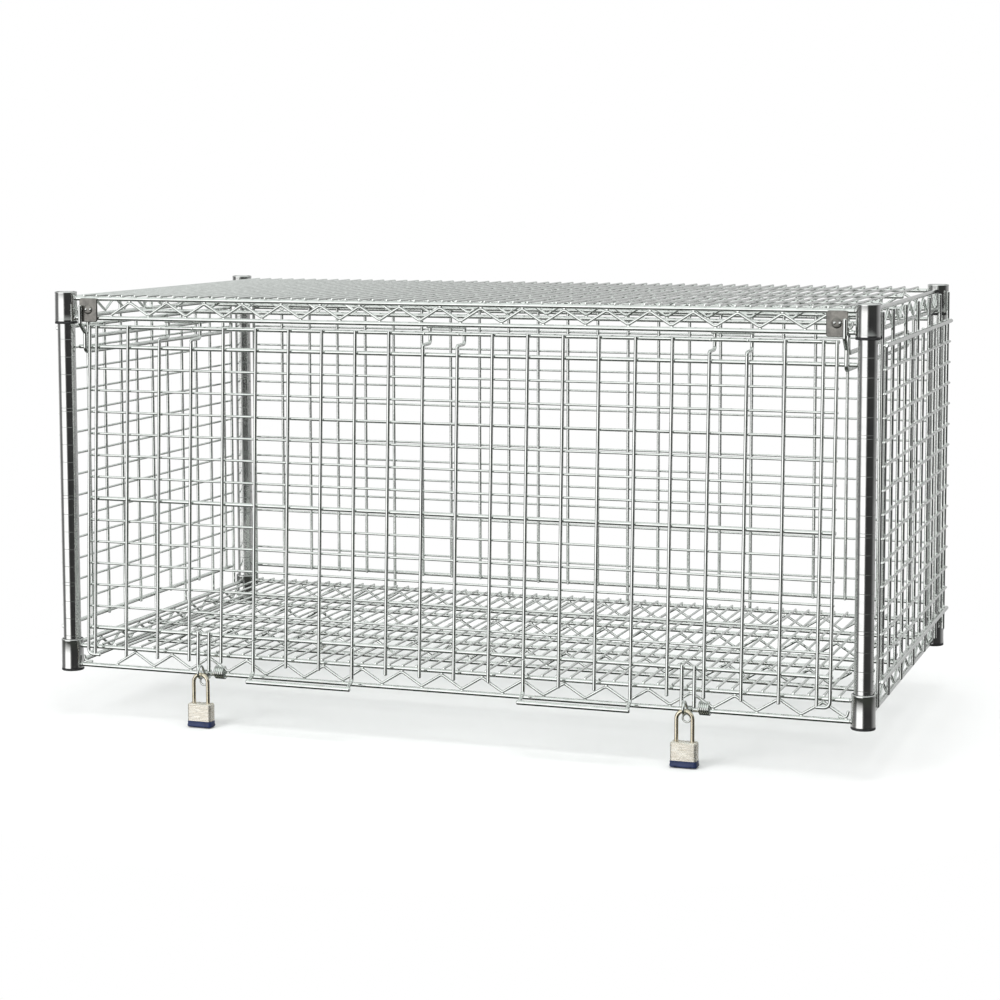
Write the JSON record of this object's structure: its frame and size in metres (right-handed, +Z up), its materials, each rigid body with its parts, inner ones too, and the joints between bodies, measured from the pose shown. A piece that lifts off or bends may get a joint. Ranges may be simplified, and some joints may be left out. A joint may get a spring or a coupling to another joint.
{
  "type": "wire mesh container",
  "caption": "Lockable wire shelving cage with mesh sides and a mesh front door that swings up and slides back under the top shelf, held shut by padlocks.",
  "frame": {"origin": "centre of the footprint, level with the bottoms of the four posts", "axes": "+X to the right seen from the front, +Y to the back, +Z up; the door faces -Y"},
  "size_m": [1.202, 0.6383, 0.6161],
  "materials": {
    "chrome_wire": "bright chrome plated wire",
    "chrome_post": "polished chrome plate",
    "black_plastic": "moulded black plastic",
    "lock_steel": "laminated steel plates, satin",
    "shackle_steel": "polished hardened steel, warm tone",
    "blue_plastic": "moulded navy blue plastic",
    "brass": "machined brass"
  },
  "bodies": {
    "root": {"post_front_left": "chrome_post", "post_cap_front_left": "chrome_post", "post_front_right": "chrome_post", "post_cap_front_right": "chrome_post", "post_rear_left": "chrome_post", "post_cap_rear_left": "chrome_post", "post_rear_right": "chrome_post", "post_cap_rear_right": "chrome_post", "bottom_sleeve_front_left": "black_plastic", "bottom_collar_front_left": "chrome_post", "bottom_sleeve_front_right": "black_plastic", "bottom_collar_front_right": "chrome_post", "bottom_sleeve_rear_left": "black_plastic", "bottom_collar_rear_left": "chrome_post", "bottom_sleeve_rear_right": "black_plastic", "bottom_collar_rear_right": "chrome_post", "bottom_truss_front": "chrome_wire", "bottom_truss_rear": "chrome_wire", "bottom_truss_left": "chrome_wire", "bottom_truss_right": "chrome_wire", "bottom_deck": "chrome_wire", "top_sleeve_front_left": "black_plastic", "top_collar_front_left": "chrome_post", "top_sleeve_front_right": "black_plastic", "top_collar_front_right": "chrome_post", "top_sleeve_rear_left": "black_plastic", "top_collar_rear_left": "chrome_post", "top_sleeve_rear_right": "black_plastic", "top_collar_rear_right": "chrome_post", "top_truss_front": "chrome_wire", "top_truss_rear": "chrome_wire", "top_truss_left": "chrome_wire", "top_truss_right": "chrome_wire", "top_deck": "chrome_wire", "side_panel_left": "chrome_wire", "side_panel_right": "chrome_wire", "back_panel": "chrome_wire", "track_left": "chrome_wire", "track_right": "chrome_wire", "hasp_ring_left": "chrome_wire", "hasp_ring_right": "chrome_wire", "track_bracket_left": "chrome_post", "track_bracket_right": "chrome_post"},
    "door_carriage": {"door_pivot_rod": "chrome_wire"},
    "door": {"door_mesh": "chrome_wire", "door_finger_left": "chrome_wire", "door_finger_middle": "chrome_wire", "door_finger_right": "chrome_wire", "door_handle_left": "chrome_wire", "door_handle_right": "chrome_wire"},
    "padlock_left_shackle": {"padlock_left_shackle": "shackle_steel"},
    "padlock_left_case": {"padlock_left_body": "lock_steel", "padlock_left_bumper": "blue_plastic"},
    "padlock_left_plug": {"padlock_left_key_cylinder": "brass"},
    "padlock_right_shackle": {"padlock_right_shackle": "shackle_steel"},
    "padlock_right_case": {"padlock_right_body": "lock_steel", "padlock_right_bumper": "blue_plastic"},
    "padlock_right_plug": {"padlock_right_key_cylinder": "brass"}
  },
  "joints": [
    {"name": "door_slide", "type": "slide", "parent": "root", "child": "door_carriage", "axis": [0, 1, 0], "range_m": [0, 0.45]},
    {"name": "door_swing", "type": "hinge", "parent": "door_carriage", "child": "door", "pos_m": [0, -0.2803, 0.4716], "axis": [-1, 0, 0], "range_deg": [0, 87.36]},
    {"name": "padlock_left_swing", "type": "hinge", "parent": "root", "child": "padlock_left_shackle", "pos_m": [-0.364, -0.308, 0.01], "axis": [-1, 0, 0], "range_deg": [-8, 75]},
    {"name": "padlock_left_release", "type": "slide", "parent": "padlock_left_shackle", "child": "padlock_left_case", "axis": [0, 0, -1], "range_m": [0, 0.009]},
    {"name": "padlock_left_key_turn", "type": "hinge", "parent": "padlock_left_case", "child": "padlock_left_plug", "pos_m": [-0.364, -0.308, -0.0605], "axis": [0, 0, 1], "range_deg": [0, 90]},
    {"name": "padlock_right_swing", "type": "hinge", "parent": "root", "child": "padlock_right_shackle", "pos_m": [0.345, -0.308, 0.01], "axis": [-1, 0, 0], "range_deg": [-8, 75]},
    {"name": "padlock_right_release", "type": "slide", "parent": "padlock_right_shackle", "child": "padlock_right_case", "axis": [0, 0, -1], "range_m": [0, 0.009]},
    {"name": "padlock_right_key_turn", "type": "hinge", "parent": "padlock_right_case", "child": "padlock_right_plug", "pos_m": [0.345, -0.308, -0.0605], "axis": [0, 0, 1], "range_deg": [0, 90]}
  ],
  "couplings": [
    {"joint": "door_swing", "follows": "door_slide", "rad_per_m": 3.388}
  ]
}
